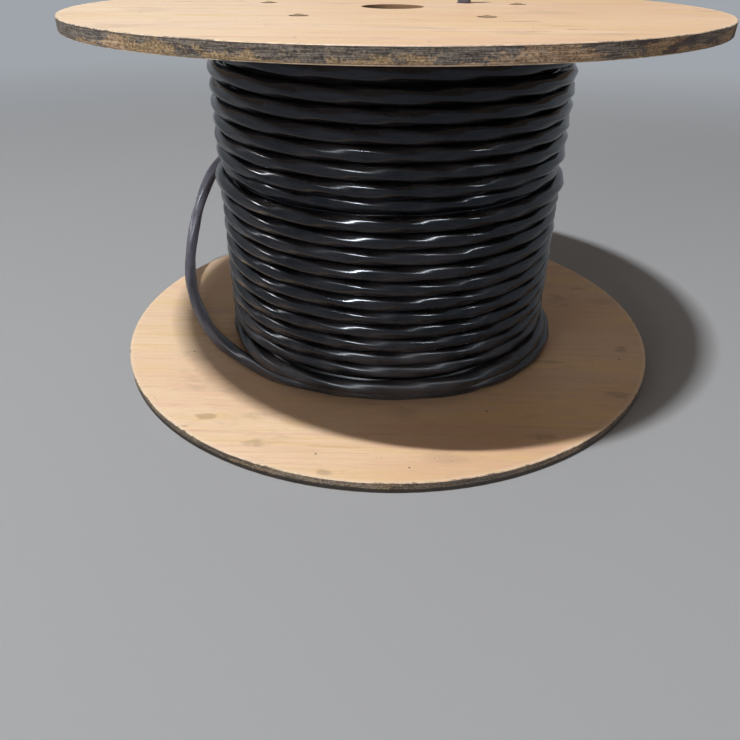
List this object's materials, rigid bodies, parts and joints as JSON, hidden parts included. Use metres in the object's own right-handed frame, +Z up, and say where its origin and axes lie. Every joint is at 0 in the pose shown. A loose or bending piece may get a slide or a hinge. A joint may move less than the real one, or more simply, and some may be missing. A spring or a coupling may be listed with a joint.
{
  "type": "wooden cable drum",
  "caption": "Plywood cable drum standing on its flange, with a coopered barrel, tie bolts, a full winding of round black power cable, a slack cable loop and an upright cable tail.",
  "frame": {"origin": "middle of the lower flange's underside, on the floor", "axes": "+Z up along the drum's axis, -Y towards the viewer, +X to the viewer's right"},
  "size_m": [0.7999, 0.8, 0.5736],
  "materials": {
    "plywood": "pale sanded plywood face, grimy dark edge",
    "stave_wood": "planed softwood",
    "cable_sheath": "glossy black PVC sheath over twisted cores",
    "zinc_steel": "dull zinc plating"
  },
  "bodies": {
    "root": {"flange_bottom": "plywood", "flange_top": "plywood", "barrel_staves": "stave_wood", "cable_winding": "cable_sheath", "cable_loop": "cable_sheath", "cable_tail": "cable_sheath", "tie_bolt_1": "zinc_steel", "tie_washer_1": "zinc_steel", "tie_nut_1": "zinc_steel", "tie_bolt_2": "zinc_steel", "tie_washer_2": "zinc_steel", "tie_nut_2": "zinc_steel", "tie_bolt_3": "zinc_steel", "tie_washer_3": "zinc_steel", "tie_nut_3": "zinc_steel", "tie_bolt_4": "zinc_steel", "tie_washer_4": "zinc_steel", "tie_nut_4": "zinc_steel", "tie_bolt_5": "zinc_steel", "tie_washer_5": "zinc_steel", "tie_nut_5": "zinc_steel"}
  },
  "joints": []
}
